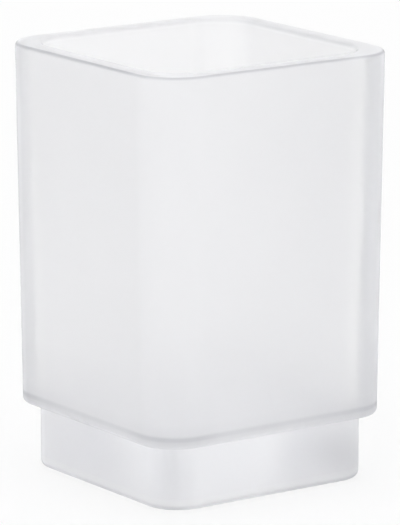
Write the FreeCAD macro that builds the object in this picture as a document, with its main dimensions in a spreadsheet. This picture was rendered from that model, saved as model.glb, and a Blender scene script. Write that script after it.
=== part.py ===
import FreeCAD
import Part
import os
import Sketcher

# Square bathroom tumbler in satin glass, pressed in one piece.
# The body is a drafted square with round corners. Below it a smaller solid foot stands back on all sides,
# so that a ledge runs round the tumbler and rests on a square holder ring.
# Frame: +Z is up, the standing plane is z = 0 and the vertical axis of the tumbler is x = y = 0.

# Driving sizes in millimetres
SIZES = (
    ("overall_height", 100.0, "standing plane to the top of the rim"),
    ("rim_width", 66.4, "across two opposite sides of the body at the rim"),
    ("body_draft", 1.2, "lean of each outer side between the rim and the ledge"),
    ("body_corner_radius", 10.4, "upright corners of the body at the rim"),
    ("foot_height", 15.2, "standing plane to the ledge"),
    ("ledge_step", 3.15, "how far the foot stands back from the body on each side"),
    ("foot_corner_radius", 8.5, "upright corners of the foot"),
    ("rim_wall", 4.8, "wall thickness at the rim"),
    ("lower_wall", 5.0, "wall thickness at the inside floor"),
    ("mouth_corner_radius", 10.0, "upright corners of the inside at the rim"),
    ("floor_rise", 0.3, "how far the inside floor lies above the ledge"),
    ("floor_radius", 1.5, "round between the inside walls and the floor"),
    ("rim_radius", 1.0, "fire-polished edges of the rim"),
    ("ledge_radius", 1.2, "lower edge of the body"),
    ("ledge_root_radius", 0.4, "inner corner between the ledge and the foot"),
    ("foot_radius", 1.4, "lower edge of the foot"),
    ("standing_land", 4.0, "flat that the tumbler stands on, round the hollow of the base"),
    ("base_hollow_depth", 0.8, "height of the hollow under the base"),
    ("base_hollow_lean", 30.0, "lean of the walls of the hollow in degrees"),
)

# Sizes that follow from the driving ones
LEDGE_WIDTH = "(sheet.rim_width - 2 * sheet.body_draft)"
FOOT_WIDTH = f"({LEDGE_WIDTH} - 2 * sheet.ledge_step)"
MOUTH_WIDTH = "(sheet.rim_width - 2 * sheet.rim_wall)"
BODY_HEIGHT = "(sheet.overall_height - sheet.foot_height)"
FLOOR_HEIGHT = "(sheet.foot_height + sheet.floor_rise)"
CAVITY_DEPTH = f"(sheet.overall_height - {FLOOR_HEIGHT})"
HOLLOW_INSET = "(sheet.foot_radius + sheet.standing_land)"
HOLLOW_WIDTH = f"({FOOT_WIDTH} - 2 * {HOLLOW_INSET})"
HOLLOW_CORNER = f"max(sheet.foot_corner_radius - {HOLLOW_INSET}; 2 * sheet.base_hollow_depth)"
BODY_LEAN = f"atan(sheet.body_draft / {BODY_HEIGHT})"
CAVITY_LEAN = f"atan((sheet.body_draft + sheet.lower_wall - sheet.rim_wall) / {CAVITY_DEPTH})"

# Each rounding stays within the glass that carries it
RIM_ROUND = "min(sheet.rim_radius; 0.4 * sheet.rim_wall)"
LEDGE_ROUND = "min(sheet.ledge_radius; 0.6 * sheet.ledge_step)"
LEDGE_ROOT_ROUND = "min(sheet.ledge_root_radius; 0.2 * sheet.ledge_step)"
FOOT_ROUND = "min(sheet.foot_radius; 0.4 * sheet.foot_height)"
FLOOR_ROUND = "min(sheet.floor_radius; 0.6 * sheet.mouth_corner_radius)"

# A face counts as lying at a height when it is this close to it
TOUCH = 1e-6


def make_sheet(doc):
    sheet = doc.addObject("Spreadsheet::Sheet", "sheet")
    for row, (alias, value, meaning) in enumerate(SIZES, 1):
        sheet.set(f"A{row}", alias)
        sheet.set(f"B{row}", str(value))
        sheet.set(f"C{row}", meaning)
        sheet.setAlias(f"B{row}", alias)
    doc.recompute()
    return sheet


def origin_plane(body, role):
    for feature in body.Origin.OriginFeatures:
        if feature.Role == role:
            return feature
    raise ValueError(f"no origin plane {role}")


def new_sketch(body, name, role):
    sketch = body.newObject("Sketcher::SketchObject", name)
    sketch.AttachmentSupport = [(origin_plane(body, role), "")]
    sketch.MapMode = "FlatFace"
    return sketch


def bind(sketch, constraint, name, expression):
    index = sketch.addConstraint(constraint)
    sketch.renameConstraint(index, name)
    sketch.setExpression(f"Constraints.{name}", expression)


def rounded_square(body, name, width, radius, height):
    # Four sides and four corner arcs about the axis, drawn anticlockwise from the front side
    sketch = new_sketch(body, name, "XY_Plane")
    sketch.setExpression("AttachmentOffset.Base.z", height)
    half = sketch.evalExpression(width) / 2
    round_now = sketch.evalExpression(radius)
    flat = half - round_now
    up = FreeCAD.Vector(0, 0, 1)
    quarter = 1.5707963267948966
    ends = (
        ((-flat, -half), (flat, -half)),
        ((half, -flat), (half, flat)),
        ((flat, half), (-flat, half)),
        ((-half, flat), (-half, -flat)),
    )
    centres = ((flat, -flat), (flat, flat), (-flat, flat), (-flat, -flat))
    sides = []
    for start, end in ends:
        line = Part.LineSegment(FreeCAD.Vector(*start, 0), FreeCAD.Vector(*end, 0))
        sides.append(sketch.addGeometry(line, False))
    corners = []
    for turn, centre in enumerate(centres):
        circle = Part.Circle(FreeCAD.Vector(*centre, 0), up, round_now)
        arc = Part.ArcOfCircle(circle, (turn - 1) * quarter, turn * quarter)
        corners.append(sketch.addGeometry(arc, False))
    for turn in range(4):
        following = sides[(turn + 1) % 4]
        sketch.addConstraint(Sketcher.Constraint("Tangent", sides[turn], 2, corners[turn], 1))
        sketch.addConstraint(Sketcher.Constraint("Tangent", corners[turn], 2, following, 1))
    for turn in (0, 2):
        sketch.addConstraint(Sketcher.Constraint("Horizontal", sides[turn]))
        sketch.addConstraint(Sketcher.Constraint("Vertical", sides[turn + 1]))
    for turn in range(3):
        sketch.addConstraint(Sketcher.Constraint("Equal", corners[turn], corners[turn + 1]))
    sketch.addConstraint(Sketcher.Constraint("Equal", sides[0], sides[1]))
    sketch.addConstraint(Sketcher.Constraint("Symmetric", sides[0], 1, sides[2], 1, -1, 1))
    bind(sketch, Sketcher.Constraint("Radius", corners[0], round_now), "corner_radius", radius)
    across = Sketcher.Constraint("DistanceX", sides[3], 1, sides[1], 1, 2 * half)
    bind(sketch, across, "width", width)
    return sketch


def level_face(shape, height, facing):
    # The flat face at a height that looks up (1) or down (-1)
    for face in shape.Faces:
        box = face.BoundBox
        if box.ZLength < TOUCH and abs(box.ZMin - height) < TOUCH:
            u_min, u_max, v_min, v_max = face.ParameterRange
            normal = face.normalAt((u_min + u_max) / 2, (v_min + v_max) / 2)
            if normal.z * facing > 0.5:
                return face
    raise ValueError(f"no level face at {height}")


def edge_names(shape, wanted):
    names = []
    for number, edge in enumerate(shape.Edges, 1):
        if any(edge.isSame(other) for other in wanted):
            names.append(f"Edge{number}")
    return names


def round_edges(body, name, edges, radius):
    carrier = body.Tip
    fillet = body.newObject("PartDesign::Fillet", name)
    fillet.Base = (carrier, edge_names(carrier.Shape, edges))
    fillet.setExpression("Radius", radius)
    body.Document.recompute()
    return fillet


def walls_between(shape, low, high):
    names = []
    for number, face in enumerate(shape.Faces, 1):
        box = face.BoundBox
        if abs(box.ZMin - low) < TOUCH and abs(box.ZMax - high) < TOUCH:
            names.append(f"Face{number}")
    return names


def lean_walls(body, name, walls, level, angle, reverse, gain):
    # Walls lean from a level face that keeps its size, and gain says whether glass is added (1) or taken (-1)
    carrier = body.Tip
    number = next(n for n, face in enumerate(carrier.Shape.Faces, 1) if face.isSame(level))
    draft = body.newObject("PartDesign::Draft", name)
    draft.Base = (carrier, walls)
    draft.NeutralPlane = (carrier, [f"Face{number}"])
    draft.Reversed = reverse
    draft.setExpression("Angle", angle)
    body.Document.recompute()
    if (draft.Shape.Volume - carrier.Shape.Volume) * gain <= 0:
        raise ValueError(f"{name} leans the wrong way")


def sink(body, name, outline, depth, reverse):
    carrier = body.Tip
    pocket = body.newObject("PartDesign::Pocket", name)
    pocket.Profile = outline
    pocket.Reversed = reverse
    pocket.setExpression("Length", depth)
    body.Document.recompute()
    if pocket.Shape.Volume >= carrier.Shape.Volume:
        raise ValueError(f"{name} took no glass away")


def outer_form(body, sheet):
    # The body leans in from the rim down to the ledge, and the foot below it is upright
    corner = "sheet.body_corner_radius"
    rim_outline = rounded_square(body, "rim_outline", "sheet.rim_width", corner, "sheet.overall_height")
    block = body.newObject("PartDesign::Pad", "body_form")
    block.Profile = rim_outline
    block.Reversed = True
    block.setExpression("Length", BODY_HEIGHT)
    body.Document.recompute()
    sides = walls_between(block.Shape, sheet.foot_height, sheet.overall_height)
    rim = level_face(block.Shape, sheet.overall_height, 1)
    lean_walls(body, "body_lean", sides, rim, BODY_LEAN, True, -1)
    foot_outline = rounded_square(body, "foot_outline", FOOT_WIDTH, "sheet.foot_corner_radius", "0")
    foot = body.newObject("PartDesign::Pad", "foot_form")
    foot.Profile = foot_outline
    foot.setExpression("Length", "sheet.foot_height")
    body.Document.recompute()


def cavity(body, sheet):
    # The inside narrows a little more than the outside, so that the pressing plunger lifts out
    corner = "sheet.mouth_corner_radius"
    mouth_outline = rounded_square(body, "mouth_outline", MOUTH_WIDTH, corner, "sheet.overall_height")
    sink(body, "cavity_form", mouth_outline, CAVITY_DEPTH, False)
    shape = body.Tip.Shape
    walls = walls_between(shape, sheet.evalExpression(FLOOR_HEIGHT), sheet.overall_height)
    rim = level_face(shape, sheet.overall_height, 1)
    lean_walls(body, "cavity_lean", walls, rim, CAVITY_LEAN, False, 1)


def roundings(body, sheet):
    floor_height = sheet.evalExpression(FLOOR_HEIGHT)
    floor = level_face(body.Tip.Shape, floor_height, 1)
    round_edges(body, "floor_round", floor.OuterWire.Edges, FLOOR_ROUND)
    rim = level_face(body.Tip.Shape, sheet.overall_height, 1)
    round_edges(body, "rim_round", rim.Edges, RIM_ROUND)
    ledge = level_face(body.Tip.Shape, sheet.foot_height, -1)
    round_edges(body, "ledge_round", ledge.OuterWire.Edges, LEDGE_ROUND)
    ledge = level_face(body.Tip.Shape, sheet.foot_height, -1)
    root = [edge for wire in ledge.Wires if not wire.isSame(ledge.OuterWire) for edge in wire.Edges]
    round_edges(body, "ledge_root_round", root, LEDGE_ROOT_ROUND)
    base = level_face(body.Tip.Shape, 0, -1)
    round_edges(body, "foot_round", base.OuterWire.Edges, FOOT_ROUND)


def base_hollow(body, sheet):
    # A shallow hollow under the base leaves an even land for the tumbler to stand on
    hollow_outline = rounded_square(body, "hollow_outline", HOLLOW_WIDTH, HOLLOW_CORNER, "0")
    sink(body, "base_hollow_form", hollow_outline, "sheet.base_hollow_depth", True)
    shape = body.Tip.Shape
    walls = walls_between(shape, 0, sheet.base_hollow_depth)
    land = level_face(shape, 0, -1)
    lean_walls(body, "base_hollow_lean", walls, land, "sheet.base_hollow_lean", True, 1)


def check_and_write(doc, body):
    for item in doc.Objects:
        if {"Invalid", "Error"} & set(item.State):
            raise ValueError(f"{item.Name} did not build: {item.State}")
        if item.isDerivedFrom("Sketcher::SketchObject") and item.solve() != 0:
            raise ValueError(f"{item.Name} is not solved")
    if body.Shape.isNull() or not body.Shape.isValid() or len(body.Shape.Solids) != 1:
        raise ValueError("the tumbler is not one sound solid")
    os.makedirs("parts", exist_ok=True)
    body.Shape.exportStep(f"parts/{body.Label}.step")
    print(f"{body.Label}: {body.Shape.Volume / 1000:.1f} cm3, box {body.Shape.BoundBox}")


document = FreeCAD.newDocument("tumbler_document")
size_sheet = make_sheet(document)
tumbler = document.addObject("PartDesign::Body", "tumbler")
tumbler.Label = "tumbler"
outer_form(tumbler, size_sheet)
cavity(tumbler, size_sheet)
roundings(tumbler, size_sheet)
base_hollow(tumbler, size_sheet)
document.recompute()
check_and_write(document, tumbler)
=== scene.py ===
import math

import bpy
from mathutils import Matrix, Vector


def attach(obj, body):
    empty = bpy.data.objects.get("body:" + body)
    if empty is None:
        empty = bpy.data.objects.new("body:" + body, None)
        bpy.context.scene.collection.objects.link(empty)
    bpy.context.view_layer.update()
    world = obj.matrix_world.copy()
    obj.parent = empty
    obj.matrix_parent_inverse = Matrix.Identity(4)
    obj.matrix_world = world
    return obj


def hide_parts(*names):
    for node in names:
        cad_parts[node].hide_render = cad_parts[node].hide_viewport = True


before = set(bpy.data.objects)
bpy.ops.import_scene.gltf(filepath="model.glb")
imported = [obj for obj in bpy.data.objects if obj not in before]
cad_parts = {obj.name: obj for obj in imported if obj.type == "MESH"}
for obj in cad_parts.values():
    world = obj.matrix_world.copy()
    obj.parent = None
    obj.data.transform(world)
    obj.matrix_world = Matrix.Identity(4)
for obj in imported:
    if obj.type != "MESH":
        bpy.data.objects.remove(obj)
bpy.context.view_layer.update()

# The tumbler and the camera are given in millimetres, and the frame is in metres
MM_PER_METRE = 1000

# Sizes of the tumbler, as in the CAD model
HEIGHT = 100.0
RIM_HALF = 33.2
RIM_CORNER = 10.4
DRAFT = 1.2
LEDGE_Z = 15.2
FOOT_HALF = 28.85
FOOT_CORNER = 8.5
MOUTH_HALF = 28.4
MOUTH_CORNER = 10.0
CAVITY_DRAFT = 1.4
FLOOR_Z = 15.5
FLOOR_ROUND = 1.5
RIM_ROUND = 1.0
LEDGE_ROUND = 1.2
ROOT_ROUND = 0.4
FOOT_ROUND = 1.4
LAND = 4.0
HOLLOW_DEPTH = 0.8
HOLLOW_LEAN = math.tan(math.radians(30.0))

# Mesh steps along a flat side, a half corner, a rounding, the foot's root, its wall and a tall wall
SIDE_STEPS = 10
CORNER_STEPS = 9
ROUND_STEPS = 8
ROOT_STEPS = 4
FOOT_STEPS = 4
WALL_STEPS = 12

# Narrow steps beside each bend, in millimetres on a wall and as a share of a flat side
SUPPORT = 0.35
SIDE_SUPPORT = 0.012

# Roughness of the etched glass and of the fire-polished rim
ETCHED = 0.40
POLISHED = 0.28

# Faint clouds in the etching: noise cells per metre, range of the noise and spread of the roughness
CLOUD_SCALE = 90.0
CLOUD_RANGE = (0.3, 0.7)
CLOUD_SPREAD = 0.02

# Grain of the etching: noise cells per metre and height in metres
GRAIN_SCALE = 5200.0
GRAIN_HEIGHT = 0.000004

# Sheen of the etched glass, its roughness and the slants between which it fades out
SHEEN = 0.6
SHEEN_ROUGHNESS = 0.12
SHEEN_FADE = (0.5, 0.72)

# Refraction, tint of a surface, tint of the shade painted along its edges, and tint and density in
# depth
GLASS_IOR = 1.5
TINT = (0.958, 0.958, 0.965, 1.0)
PAINTED_SHADE_TINT = (0.4, 0.405, 0.43, 1.0)
DEPTH_COLOR = (0.0, 0.08, 0.5, 1.0)
DEPTH_DENSITY = 0.6

# Painted shade along the edges, as pairs of a height in millimetres and a share. A share below 0 is a
# painted highlight.
# Painted shade at the foot's bottom edge, and a painted highlight just above it
FOOT_PAINTED_SHADE_AND_HIGHLIGHT = ((0.0, 0.3), (0.3, 0.5), (0.9, 0.4), (1.3, 0.0), (1.6, -0.1), (2.4, -0.1), (2.8, 0.0))
BODY_PAINTED_SHADE = (
    (15.2, 0.4), (16.0, 0.5), (16.8, 0.55), (17.3, 0.8),
    (17.8, 0.8), (18.4, 0.3), (21.0, 0.15), (32.0, 0.0),
)
RIM_PAINTED_SHADE = ((99.0, 0.0), (99.4, 0.2), (99.6, 0.7), (99.85, 0.7), (99.95, 0.2), (100.0, 0.0))
MOUTH_PAINTED_SHADE = ((99.2, 0.0), (99.65, 0.25), (99.95, 0.25), (100.0, 0.1))
NO_PAINTED_SHADE = ((0.0, 0.0),)

# Share of the body's painted shade left in the middle of a flat side, and the power of its rise to the
# corners
FLAT_PAINTED_SHADE_SHARE = 0.63
FLAT_PAINTED_SHADE_POWER = 6

# Light all round, low and high, as pairs of a turn in degrees and a level, and the level overhead.
# The turn starts straight behind the tumbler as the camera sees it and goes by the camera's right.
LOW_LIGHT = (
    (0, 1.15), (30, 0.51), (60, 0.97), (90, 1.15), (120, 0.68), (180, 0.67),
    (210, 1.15), (240, 1.15), (270, 0.6), (300, 0.05), (330, 0.81),
)
HIGH_LIGHT = ((0, 1.09), (60, 0.11), (120, 0.56), (180, 0.84), (240, 1.25), (300, 0.08))
TOP_LEVEL = 1.85

# Heights on a sphere of radius 1 between which one light gives way to the next
LOW_TO_HIGH = (0.15, 0.55)
HIGH_TO_TOP = (0.60, 0.95)

# A ramp holds colours up to 1, so its levels are divided by this
LEVEL_SCALE = 2.0

# Colour of the light
WHITE = (1.0, 1.0, 1.0, 1.0)

# Floor paper: the share of it that takes light and shadow, its colour and the glow of the rest
PAPER_SHARE = 0.3
PAPER_COLOR = (0.84, 0.84, 0.84, 1.0)
PAPER_GLOW = 1.0

# Half width of the floor and its drop below the base, in metres
FLOOR_HALF = 4.0
FLOOR_DROP = 0.0002

# Camera: turn and tilt in degrees, distance and the aim beside the middle of the height in millimetres
CAMERA_TURN = -35.355
CAMERA_TILT = 12.514
CAMERA_DISTANCE = 1058.03
AIM_RIGHT = 0.219
AIM_UP = -0.797

# Lens: the photo's longer side and the focal length in its pixels, and the sensor in millimetres
PHOTO_HEIGHT = 525
FOCAL_PIXELS = 4595
SENSOR = 36.0

# Nearest and farthest distance that the camera sees, in metres
NEAR_CLIP = 0.01
FAR_CLIP = 50.0

# Most bounces of a light path
BOUNCES = 32


def side_fractions():
    # Fractions along a flat side without its end, with a narrow step next to each corner
    inner = [k / (SIDE_STEPS - 2) for k in range(SIDE_STEPS - 1)]
    return [0.0] + [SIDE_SUPPORT + (1 - 2 * SIDE_SUPPORT) * f for f in inner]


def half_corner(x, y, radius, start):
    # Points through 45 degrees round a centre, without the last one
    angles = [math.radians(start + 45 * k / CORNER_STEPS) for k in range(CORNER_STEPS)]
    return [(x + radius * math.cos(a), y + radius * math.sin(a)) for a in angles]


def ring(half, corner, z):
    # A rounded square at a height, from the middle of one corner to the same place again
    flat = half - corner
    side = half_corner(-flat, -flat, corner, 225)
    side += [(-flat + 2 * flat * f, -half) for f in side_fractions()]
    side += half_corner(flat, -flat, corner, 270)
    points = []
    for quarter in range(4):
        turn = Matrix.Rotation(quarter * math.pi / 2, 3, "Z")
        points += [turn @ Vector((x, y, z)) for x, y in side]
    return points


def body_at(z):
    # Half width and corner radius of the outside at a height above the ledge
    inset = DRAFT * (HEIGHT - z) / (HEIGHT - LEDGE_Z)
    return RIM_HALF - inset, RIM_CORNER - inset


def cavity_at(z):
    # Half width and corner radius of the inside at a height above its floor
    inset = CAVITY_DRAFT * (HEIGHT - z) / (HEIGHT - FLOOR_Z)
    return MOUTH_HALF - inset, MOUTH_CORNER - inset


def shrink(pair, inset):
    return pair[0] - inset, pair[1] - inset


def arc(steps=ROUND_STEPS):
    # Sine and cosine pairs through a quarter turn
    turns = [math.pi / 2 * k / steps for k in range(steps + 1)]
    return [(math.sin(a), math.cos(a)) for a in turns]


def wall(at, low, high, steps, painted_shades=NO_PAINTED_SHADE):
    # Rows up a wall, with a narrow step next to each end and rows where its painted shade changes
    heights = [low, low + SUPPORT]
    heights += [low + SUPPORT + (high - low - 2 * SUPPORT) * k / steps for k in range(1, steps)]
    heights += [high - SUPPORT, high]
    heights += [z for z, _ in painted_shades if low + SUPPORT < z < high - SUPPORT]
    return [(*at(z), z) for z in sorted(heights)]


def foot_rows():
    # From the hollow under the base to the ledge
    foot = (FOOT_HALF, FOOT_CORNER)
    inset = FOOT_ROUND + LAND
    lean = HOLLOW_DEPTH * HOLLOW_LEAN
    rows = [(*shrink(foot, inset + lean + SUPPORT), HOLLOW_DEPTH)]
    rows.append((*shrink(foot, inset + lean), HOLLOW_DEPTH))
    rows.append((*shrink(foot, inset), 0.0))
    rows.append((*shrink(foot, inset - SUPPORT), 0.0))
    rows.append((*shrink(foot, FOOT_ROUND + SUPPORT), 0.0))
    for s, c in arc():
        rows.append((*shrink(foot, FOOT_ROUND * (1 - s)), FOOT_ROUND * (1 - c)))
    rows += wall(lambda z: foot, FOOT_ROUND, LEDGE_Z - ROOT_ROUND, FOOT_STEPS, FOOT_PAINTED_SHADE_AND_HIGHLIGHT)[1:]
    for s, c in arc(ROOT_STEPS)[1:]:
        rows.append((*shrink(foot, -ROOT_ROUND * (1 - c)), LEDGE_Z - ROOT_ROUND * (1 - s)))
    return rows


def body_rows():
    # From the ledge up the outside to the start of the rim
    low = LEDGE_Z + LEDGE_ROUND
    start = body_at(low)
    rows = [(*shrink(body_at(LEDGE_Z), LEDGE_ROUND + SUPPORT), LEDGE_Z)]
    for s, c in arc():
        rows.append((*shrink(start, LEDGE_ROUND * (1 - s)), LEDGE_Z + LEDGE_ROUND * (1 - c)))
    rows += wall(body_at, low, HEIGHT - RIM_ROUND, WALL_STEPS, BODY_PAINTED_SHADE)[1:]
    return rows


def rim_rows():
    # Over the rim: its outer rounding, then the flat top and the rounding of the mouth
    outside = body_at(HEIGHT - RIM_ROUND)
    mouth = cavity_at(HEIGHT - RIM_ROUND)
    outer = []
    for s, c in arc()[1:]:
        outer.append((*shrink(outside, RIM_ROUND * (1 - c)), HEIGHT - RIM_ROUND * (1 - s)))
    inner = [(*shrink(outside, RIM_ROUND + SUPPORT), HEIGHT)]
    inner.append((*shrink(mouth, -RIM_ROUND - SUPPORT), HEIGHT))
    for s, c in arc():
        inner.append((*shrink(mouth, -RIM_ROUND * (1 - s)), HEIGHT - RIM_ROUND * (1 - c)))
    return outer, inner


def cavity_rows():
    # From below the rim down the inside to the floor
    low = FLOOR_Z + FLOOR_ROUND
    end = cavity_at(low)
    rows = wall(cavity_at, low, HEIGHT - RIM_ROUND, WALL_STEPS)[::-1][1:]
    for s, c in arc()[1:]:
        rows.append((*shrink(end, FLOOR_ROUND * (1 - c)), FLOOR_Z + FLOOR_ROUND * (1 - s)))
    rows.append((*shrink(end, FLOOR_ROUND + SUPPORT), FLOOR_Z))
    return rows


def fill(verts, faces, loop, upward):
    # An even grid of quads across a closed loop
    n = len(loop) // 4
    front = loop[0:n + 1]
    right = loop[n:2 * n + 1]
    back = loop[2 * n:3 * n + 1][::-1]
    left = (loop[3 * n:] + loop[:1])[::-1]
    grid = [[None] * (n + 1) for _ in range(n + 1)]
    for i in range(n + 1):
        grid[0][i] = front[i]
        grid[n][i] = back[i]
        grid[i][0] = left[i]
        grid[i][n] = right[i]
    for j in range(1, n):
        for i in range(1, n):
            u, v = i / n, j / n
            across = (1 - u) * verts[left[j]] + u * verts[right[j]]
            along = (1 - v) * verts[front[i]] + v * verts[back[i]]
            corners = (1 - v) * ((1 - u) * verts[front[0]] + u * verts[front[n]])
            corners += v * ((1 - u) * verts[back[0]] + u * verts[back[n]])
            verts.append(across + along - corners)
            grid[j][i] = len(verts) - 1
    for j in range(n):
        for i in range(n):
            quad = (grid[j][i], grid[j][i + 1], grid[j + 1][i + 1], grid[j + 1][i])
            faces.append(quad if upward else quad[::-1])


def share_at(pairs, z):
    # A share between pairs of a height and a share
    if z <= pairs[0][0]:
        return pairs[0][1]
    for (low, first), (high, second) in zip(pairs[:-1], pairs[1:]):
        if z <= high:
            return first + (second - first) * (z - low) / (high - low)
    return pairs[-1][1]


def painted_shade_by_corner():
    # Share of the painted shade, 1 in a corner and less on the flat sides, for the points of a ring
    rise = [abs(2 * f - 1) ** FLAT_PAINTED_SHADE_POWER for f in side_fractions()]
    side = [1.0] * CORNER_STEPS
    side += [FLAT_PAINTED_SHADE_SHARE + (1 - FLAT_PAINTED_SHADE_SHARE) * part for part in rise]
    side += [1.0] * CORNER_STEPS
    return side * 4


def zones():
    # Each zone's rows, whether it is etched, its painted shade along the edges and that shade's share
    # in a ring
    cornered = painted_shade_by_corner()
    even = [1.0] * len(cornered)
    rim_outer, rim_inner = rim_rows()
    return (
        (foot_rows(), 1.0, FOOT_PAINTED_SHADE_AND_HIGHLIGHT, even),
        (body_rows(), 1.0, BODY_PAINTED_SHADE, cornered),
        (rim_outer, 0.0, RIM_PAINTED_SHADE, even),
        (rim_inner, 0.0, MOUTH_PAINTED_SHADE, even),
        (cavity_rows(), 1.0, NO_PAINTED_SHADE, even),
    )


def tumbler_mesh():
    # One closed skin from the hollow under the base, over the rim, to the floor of the inside
    verts, faces, loops, etch, painted_shade = [], [], [], [], []
    for rows, etched, painted_shades, shares in zones():
        for half, corner, z in rows:
            points = ring(half, corner, z)
            loops.append(list(range(len(verts), len(verts) + len(points))))
            verts += points
            etch += [etched] * len(points)
            # Shade painted along the edges, and a painted highlight on the foot, for each point
            painted_shade += [share_at(painted_shades, z) * share for share in shares]
    for low, high in zip(loops[:-1], loops[1:]):
        count = len(low)
        for k in range(count):
            following = (k + 1) % count
            faces.append((low[k], low[following], high[following], high[k]))
    fill(verts, faces, loops[0], False)
    fill(verts, faces, loops[-1], True)
    etch += [1.0] * (len(verts) - len(etch))
    painted_shade += [0.0] * (len(verts) - len(painted_shade))
    mesh = bpy.data.meshes.new("tumbler_glass")
    mesh.from_pydata([v / MM_PER_METRE for v in verts], [], faces)
    mesh.polygons.foreach_set("use_smooth", [True] * len(mesh.polygons))
    mesh.attributes.new("etch", "FLOAT", "POINT").data.foreach_set("value", etch)
    mesh.attributes.new("painted_shade", "FLOAT", "POINT").data.foreach_set("value", painted_shade)
    mesh.validate()
    mesh.update()
    return mesh


def feed(tree, value, socket):
    # Sets a number on a socket, or links another socket to it
    if isinstance(value, (int, float)):
        socket.default_value = value
    else:
        tree.links.new(value, socket)


def math_node(tree, operation, *values):
    node = tree.nodes.new("ShaderNodeMath")
    node.operation = operation
    for value, socket in zip(values, node.inputs):
        feed(tree, value, socket)
    return node.outputs["Value"]


def map_range(tree, value, source, target=(0.0, 1.0), smooth=False):
    # Maps a range of a value to another range, and stops at its ends
    node = tree.nodes.new("ShaderNodeMapRange")
    node.interpolation_type = "SMOOTHSTEP" if smooth else "LINEAR"
    names = ("Value", "From Min", "From Max", "To Min", "To Max")
    for name, number in zip(names, (value, *source, *target)):
        feed(tree, number, node.inputs[name])
    return node.outputs["Result"]


def mix_levels(tree, share, low, high):
    node = tree.nodes.new("ShaderNodeMix")
    node.data_type = "FLOAT"
    for name, level in (("Factor", share), ("A", low), ("B", high)):
        feed(tree, level, node.inputs[name])
    return node.outputs["Result"]


def attribute(tree, name):
    node = tree.nodes.new("ShaderNodeAttribute")
    node.attribute_name = name
    return node.outputs["Fac"]


def noise(tree, place, scale):
    node = tree.nodes.new("ShaderNodeTexNoise")
    node.inputs["Scale"].default_value = scale
    tree.links.new(place, node.inputs["Vector"])
    return node.outputs["Fac"]


def new_material(name):
    # A material whose node tree holds only its output
    material = bpy.data.materials.new(name)
    material.use_nodes = True
    tree = material.node_tree
    tree.nodes.clear()
    return material, tree, tree.nodes.new("ShaderNodeOutputMaterial")


def glass_tint_with_painted_shade(tree):
    # The tint of the surface, with shade painted along the edges and a painted highlight above the
    # foot's bottom edge
    shaded_tint = tree.nodes.new("ShaderNodeMix")
    shaded_tint.data_type = "RGBA"
    shaded_tint.clamp_factor = False
    shaded_tint.inputs["A"].default_value = TINT
    shaded_tint.inputs["B"].default_value = PAINTED_SHADE_TINT
    tree.links.new(attribute(tree, "painted_shade"), shaded_tint.inputs["Factor"])
    return shaded_tint.outputs["Result"]


def glass_roughness(tree, etch, place):
    # Faint clouds in the etching, and a smoother rim
    clouds = noise(tree, place, CLOUD_SCALE)
    etched = map_range(tree, clouds, CLOUD_RANGE, (ETCHED - CLOUD_SPREAD, ETCHED + CLOUD_SPREAD))
    return map_range(tree, etch, (0.0, 1.0), (POLISHED, etched))


def glass_sheen(tree, etch):
    # A thin gloss on the etched glass, which fades where the surface is seen at a slant
    slant = tree.nodes.new("ShaderNodeLayerWeight")
    sheen = map_range(tree, slant.outputs["Facing"], SHEEN_FADE, (SHEEN, 0.0), smooth=True)
    return math_node(tree, "MULTIPLY", sheen, etch)


def glass_grain(tree, etch, place):
    # The fine bumps of the etching
    bump = tree.nodes.new("ShaderNodeBump")
    bump.inputs["Distance"].default_value = GRAIN_HEIGHT
    tree.links.new(etch, bump.inputs["Strength"])
    tree.links.new(noise(tree, place, GRAIN_SCALE), bump.inputs["Height"])
    return bump.outputs["Normal"]


def satin_glass():
    # Etched glass under a thin sheen, smoother on the rim and faintly blue in its depth
    material, tree, out = new_material("satin_glass")
    place = tree.nodes.new("ShaderNodeTexCoord").outputs["Object"]
    etch = attribute(tree, "etch")
    glass = tree.nodes.new("ShaderNodeBsdfPrincipled")
    glass.inputs["IOR"].default_value = GLASS_IOR
    glass.inputs["Transmission Weight"].default_value = 1.0
    glass.inputs["Coat Roughness"].default_value = SHEEN_ROUGHNESS
    # The base colour carries the painted shade and painted highlight along the edges
    tree.links.new(glass_tint_with_painted_shade(tree), glass.inputs["Base Color"])
    tree.links.new(glass_roughness(tree, etch, place), glass.inputs["Roughness"])
    tree.links.new(glass_sheen(tree, etch), glass.inputs["Coat Weight"])
    tree.links.new(glass_grain(tree, etch, place), glass.inputs["Normal"])
    depth = tree.nodes.new("ShaderNodeVolumeAbsorption")
    depth.inputs["Color"].default_value = DEPTH_COLOR
    depth.inputs["Density"].default_value = DEPTH_DENSITY
    tree.links.new(depth.outputs["Volume"], out.inputs["Volume"])
    tree.links.new(glass.outputs["BSDF"], out.inputs["Surface"])
    return material


def make_tumbler():
    piece = bpy.data.objects.new("tumbler_glass", tumbler_mesh())
    bpy.context.scene.collection.objects.link(piece)
    piece.data.materials.append(satin_glass())
    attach(piece, "root")
    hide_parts("tumbler")


def seen_rays(tree):
    # 1 on rays from the camera, a reflection or a refraction
    path = tree.nodes.new("ShaderNodeLightPath").outputs
    seen = math_node(tree, "MAXIMUM", path["Is Camera Ray"], path["Is Glossy Ray"])
    return math_node(tree, "MAXIMUM", seen, path["Is Transmission Ray"])


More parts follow.
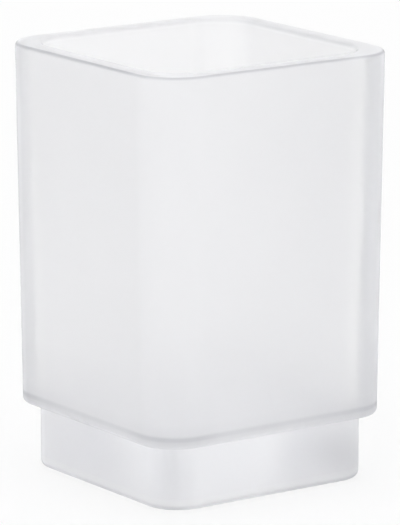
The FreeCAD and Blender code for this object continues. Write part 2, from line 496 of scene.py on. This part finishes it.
def floor_paper():
    # Pale paper that takes light and shadow, with a white glow where it is seen
    material, tree, out = new_material("floor_paper")
    paper = tree.nodes.new("ShaderNodeBsdfDiffuse")
    paper.inputs["Color"].default_value = PAPER_COLOR
    glow = tree.nodes.new("ShaderNodeEmission")
    glow.inputs["Strength"].default_value = PAPER_GLOW
    mix = tree.nodes.new("ShaderNodeMixShader")
    share = math_node(tree, "MULTIPLY", seen_rays(tree), 1 - PAPER_SHARE)
    tree.links.new(share, mix.inputs["Fac"])
    tree.links.new(paper.outputs["BSDF"], mix.inputs[1])
    tree.links.new(glow.outputs["Emission"], mix.inputs[2])
    tree.links.new(mix.outputs["Shader"], out.inputs["Surface"])
    return material


def make_floor():
    corners = [(-FLOOR_HALF, -FLOOR_HALF, 0), (FLOOR_HALF, -FLOOR_HALF, 0)]
    corners += [(FLOOR_HALF, FLOOR_HALF, 0), (-FLOOR_HALF, FLOOR_HALF, 0)]
    mesh = bpy.data.meshes.new("floor")
    mesh.from_pydata(corners, [], [(0, 1, 2, 3)])
    mesh.materials.append(floor_paper())
    floor = bpy.data.objects.new("floor", mesh)
    floor.location.z = -FLOOR_DROP
    bpy.context.scene.collection.objects.link(floor)


def camera_axes():
    # The camera's right, the level direction away from it and the direction that it looks in
    turn = math.radians(CAMERA_TURN)
    tilt = math.radians(CAMERA_TILT)
    right = Vector((math.cos(turn), math.sin(turn), 0))
    away = Vector((-math.sin(turn), math.cos(turn), 0))
    forward = away * math.cos(tilt) - Vector((0, 0, math.sin(tilt)))
    return right, away, forward


def light_round(tree, turn, levels):
    # A soft run of levels round the tumbler, which ends where it starts
    node = tree.nodes.new("ShaderNodeValToRGB")
    ramp = node.color_ramp
    ramp.interpolation = "EASE"
    stops = [(angle / 360, level) for angle, level in levels] + [(1.0, levels[0][1])]
    while len(ramp.elements) < len(stops):
        ramp.elements.new(0.5)
    for element, (position, level) in zip(ramp.elements, stops):
        element.position = position
        element.color = (*([level / LEVEL_SCALE] * 3), 1)
    tree.links.new(turn, node.inputs["Fac"])
    return node.outputs["Color"]


def part_along(tree, direction, axis):
    # The part of a direction that runs along an axis
    dot = tree.nodes.new("ShaderNodeVectorMath")
    dot.operation = "DOT_PRODUCT"
    tree.links.new(direction, dot.inputs[0])
    dot.inputs[1].default_value = axis
    return dot.outputs["Value"]


def make_world():
    # Soft studio light: a backdrop, soft boxes on the right and in front on the left, darker gaps
    # between them and a broad light overhead
    world = bpy.data.worlds.new("studio")
    bpy.context.scene.world = world
    world.use_nodes = True
    tree = world.node_tree
    right, away, _ = camera_axes()
    direction = tree.nodes.new("ShaderNodeTexCoord").outputs["Generated"]
    across = part_along(tree, direction, right)
    ahead = part_along(tree, direction, away)
    angle = math_node(tree, "ARCTAN2", across, ahead)
    whole = math_node(tree, "WRAP", angle, 2 * math.pi, 0.0)
    turn = math_node(tree, "DIVIDE", whole, 2 * math.pi)
    height = part_along(tree, direction, Vector((0, 0, 1)))
    above = map_range(tree, height, LOW_TO_HIGH, smooth=True)
    overhead = map_range(tree, height, HIGH_TO_TOP, smooth=True)
    low = light_round(tree, turn, LOW_LIGHT)
    high = light_round(tree, turn, HIGH_LIGHT)
    sides = mix_levels(tree, above, low, high)
    level = mix_levels(tree, overhead, sides, TOP_LEVEL / LEVEL_SCALE)
    background = tree.nodes["Background"]
    background.inputs["Color"].default_value = WHITE
    strength = math_node(tree, "MULTIPLY", level, LEVEL_SCALE)
    tree.links.new(strength, background.inputs["Strength"])


def make_camera():
    # The photo's camera, with its lens measured against the photo's longer side
    right, _, forward = camera_axes()
    up = right.cross(forward)
    target = Vector((0, 0, HEIGHT / 2)) + right * AIM_RIGHT + up * AIM_UP
    place = target - forward * CAMERA_DISTANCE
    data = bpy.data.cameras.new("camera")
    data.sensor_width = SENSOR
    data.lens = FOCAL_PIXELS / PHOTO_HEIGHT * SENSOR
    data.clip_start = NEAR_CLIP
    data.clip_end = FAR_CLIP
    camera = bpy.data.objects.new("camera", data)
    turn = Matrix((right, up, -forward)).transposed().to_4x4()
    camera.matrix_world = Matrix.Translation(place / MM_PER_METRE) @ turn
    bpy.context.scene.collection.objects.link(camera)
    bpy.context.scene.camera = camera


def set_light_paths():
    # Etched glass needs many bounces, and blurring later bounces would darken it
    cycles = bpy.context.scene.cycles
    cycles.max_bounces = BOUNCES
    cycles.glossy_bounces = BOUNCES
    cycles.transmission_bounces = BOUNCES
    cycles.blur_glossy = 0.0


make_tumbler()
make_floor()
make_world()
make_camera()
set_light_paths()
bpy.context.scene.view_settings.view_transform = "Standard"
